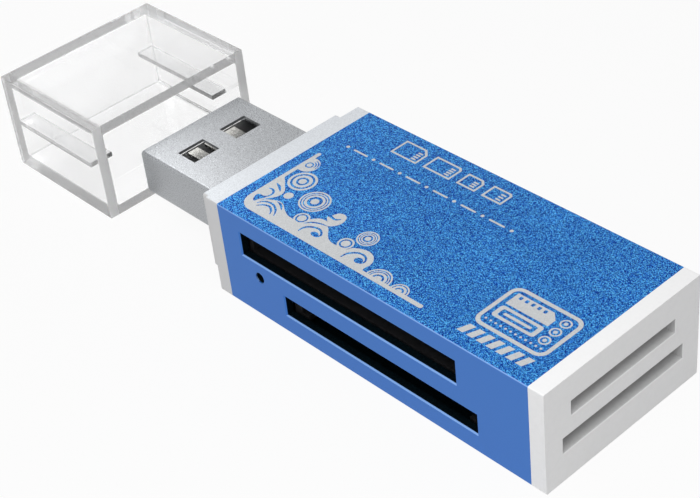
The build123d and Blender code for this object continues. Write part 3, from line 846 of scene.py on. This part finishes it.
def badge():
    """A framed panel with a card, a slot, three dials and a row of dots."""
    outer, inner = BADGE_FIELDS
    shapes = [(rounded(*outer), True), (rounded(*inner), False), (BADGE_CARD, True)]
    x0, y0, x1, y1, radius = BADGE_PAD
    for index in range(BADGE_PADS):
        shift = BADGE_PAD_STEP * index
        shapes.append((rounded(x0 + shift, y0, x1 + shift, y1, radius), False))
    for index, field in enumerate(BADGE_SLOT):
        shapes.append((rounded(*field), index % 2 == 0))
    for index in range(DIALS):
        shapes += rings(DIAL_START[0], DIAL_START[1] - DIAL_STEP * index, DIAL_RADII)
    for index in range(DOTS):
        shapes.append((circle(DOT_START[0] + DOT_STEP * index, DOT_START[1], DOT_RADIUS, DOT_SIDES), True))
    return shapes


def slanted_bars():
    """A row of bars that lean to the right."""
    start, low = BAR_START
    high = low + BAR_HEIGHT
    shapes = []
    for index in range(BARS):
        left = start + BAR_STEP * index
        right = left + BAR_WIDTH
        shapes.append(([(left, low), (right, low), (right + BAR_LEAN, high), (left + BAR_LEAN, high)], True))
    return shapes


# Print as thin solid ink


def inside(points, outline):
    """Which of the points lie inside an outline."""
    found = np.zeros(len(points), dtype=bool)
    for (ax, ay), (bx, by) in zip(outline, outline[1:] + outline[:1]):
        if ay == by:
            continue
        spans = (points[:, 1] < ay) != (points[:, 1] < by)
        found ^= spans & (points[:, 0] < ax + (points[:, 1] - ay) * (bx - ax) / (by - ay))
    return found


def inked_triangles(shapes):
    """Corners and triangles that cover the inked parts of the shapes."""
    points, edges = [], []
    for outline, _ in shapes:
        first = len(points)
        points += [Vector(point) for point in outline]
        edges += [(first + step, first + (step + 1) % len(outline)) for step in range(len(outline))]
    corners, _, triangles, *_ = delaunay_2d_cdt(points, edges, [], 0, PRINT_JOIN)
    middles = np.array([[sum(corners[index][axis] for index in triangle) / 3 for axis in (0, 1)]
                        for triangle in triangles])
    inked = np.zeros(len(triangles), dtype=bool)
    for outline, is_ink in shapes:
        inked[inside(middles, outline)] = is_ink
    return corners, [triangle for triangle, keep in zip(triangles, inked) if keep]


def ink(name, shapes):
    """A thin closed layer of ink over the inked parts of the shapes, on the sleeve's top."""
    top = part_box("shell_sleeve")[1][2]
    low, high = top - PRINT_SUNK * MM, top + PRINT_TOP * MM
    corners, triangles = inked_triangles(shapes)
    shape = bmesh.new()
    verts = {index: shape.verts.new((corners[index].x * MM, corners[index].y * MM, low))
             for index in sorted({index for triangle in triangles for index in triangle})}
    faces = [shape.faces.new([verts[index] for index in triangle]) for triangle in triangles]
    raised = bmesh.ops.extrude_face_region(shape, geom=faces, use_keep_orig=True)["geom"]
    bmesh.ops.translate(shape, vec=(0, 0, high - low),
                        verts=[item for item in raised if isinstance(item, bmesh.types.BMVert)])
    bmesh.ops.recalc_face_normals(shape, faces=shape.faces)
    mesh = bpy.data.meshes.new(name)
    shape.to_mesh(mesh)
    shape.free()
    mesh.materials.append(finishes["print_silver"])
    piece = bpy.data.objects.new(name, mesh)
    bpy.context.scene.collection.objects.link(piece)
    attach(piece, "reader")


ink("print_corner", corner_ornament())
ink("print_cards", card_row())
ink("print_rule", dot_rule())
ink("print_badge", badge())
ink("print_bars", slanted_bars())


# Floor, lights and camera


def floor():
    """A wide pale floor under the part, near white to the eye, that keeps the part's shadow."""
    mesh = bpy.data.meshes.new("floor")
    shape = bmesh.new()
    bmesh.ops.create_grid(shape, x_segments=FLOOR_CELLS, y_segments=FLOOR_CELLS, size=FLOOR_HALF)
    shape.to_mesh(mesh)
    shape.free()
    ground = bpy.data.objects.new("floor", mesh)
    ground.location.z = -FLOOR_DROP * MM
    bpy.context.scene.collection.objects.link(ground)
    material, tree, shader = new_material("floor_pale")
    shader.inputs["Base Color"].default_value = (*FLOOR_PALE, 1.0)
    shader.inputs["Roughness"].default_value = FLOOR_ROUGH
    shader.inputs["Specular IOR Level"].default_value = 0.0
    glow = add_node(tree, "ShaderNodeEmission", Color=(*WHITE, 1.0), Strength=1.0)
    surface = mixed(tree, seen_rays(tree, *FLOOR_SEEN), shader.outputs["BSDF"], glow.outputs["Emission"])
    tree.links.new(surface, tree.nodes["Material Output"].inputs["Surface"])
    mesh.materials.append(material)


def world():
    """Soft room light, white to the camera and paler in gloss and through clear plastic."""
    surround = bpy.data.worlds.new("studio")
    surround.use_nodes = True
    bpy.context.scene.world = surround
    tree = surround.node_tree
    room = blend(tree, seen_rays(tree, *ROOM_SEEN), (*ROOM, 1.0), (*WHITE, 1.0))
    tree.links.new(room, tree.nodes["Background"].inputs["Color"])


def area_light(name, place, aim, width, height, power):
    """A soft lamp at a place that faces its aim."""
    lamp = bpy.data.lights.new(name, "AREA")
    lamp.shape = "RECTANGLE"
    lamp.size = width
    lamp.size_y = height
    lamp.energy = power
    box = bpy.data.objects.new(name, lamp)
    box.location = place
    box.rotation_euler = (Vector(aim) - Vector(place)).to_track_quat("-Z", "Y").to_euler()
    box.visible_camera = False
    bpy.context.scene.collection.objects.link(box)


def camera():
    """The camera that took the photograph."""
    right, up = Vector(CAMERA_RIGHT), Vector(CAMERA_UP)
    turned = Matrix((right, up, right.cross(up))).transposed().to_4x4()
    data = bpy.data.cameras.new("camera")
    data.lens = CAMERA_LENS
    data.sensor_width = CAMERA_SENSOR
    data.clip_start = CAMERA_NEAR * MM
    eye = bpy.data.objects.new("camera", data)
    eye.matrix_world = Matrix.Translation(Vector(CAMERA_PLACE) * MM) @ turned
    bpy.context.scene.collection.objects.link(eye)
    bpy.context.scene.camera = eye


floor()
world()
for name, values in LAMPS.items():
    area_light(name, *values)
camera()
bpy.context.scene.view_settings.view_transform = "Standard"
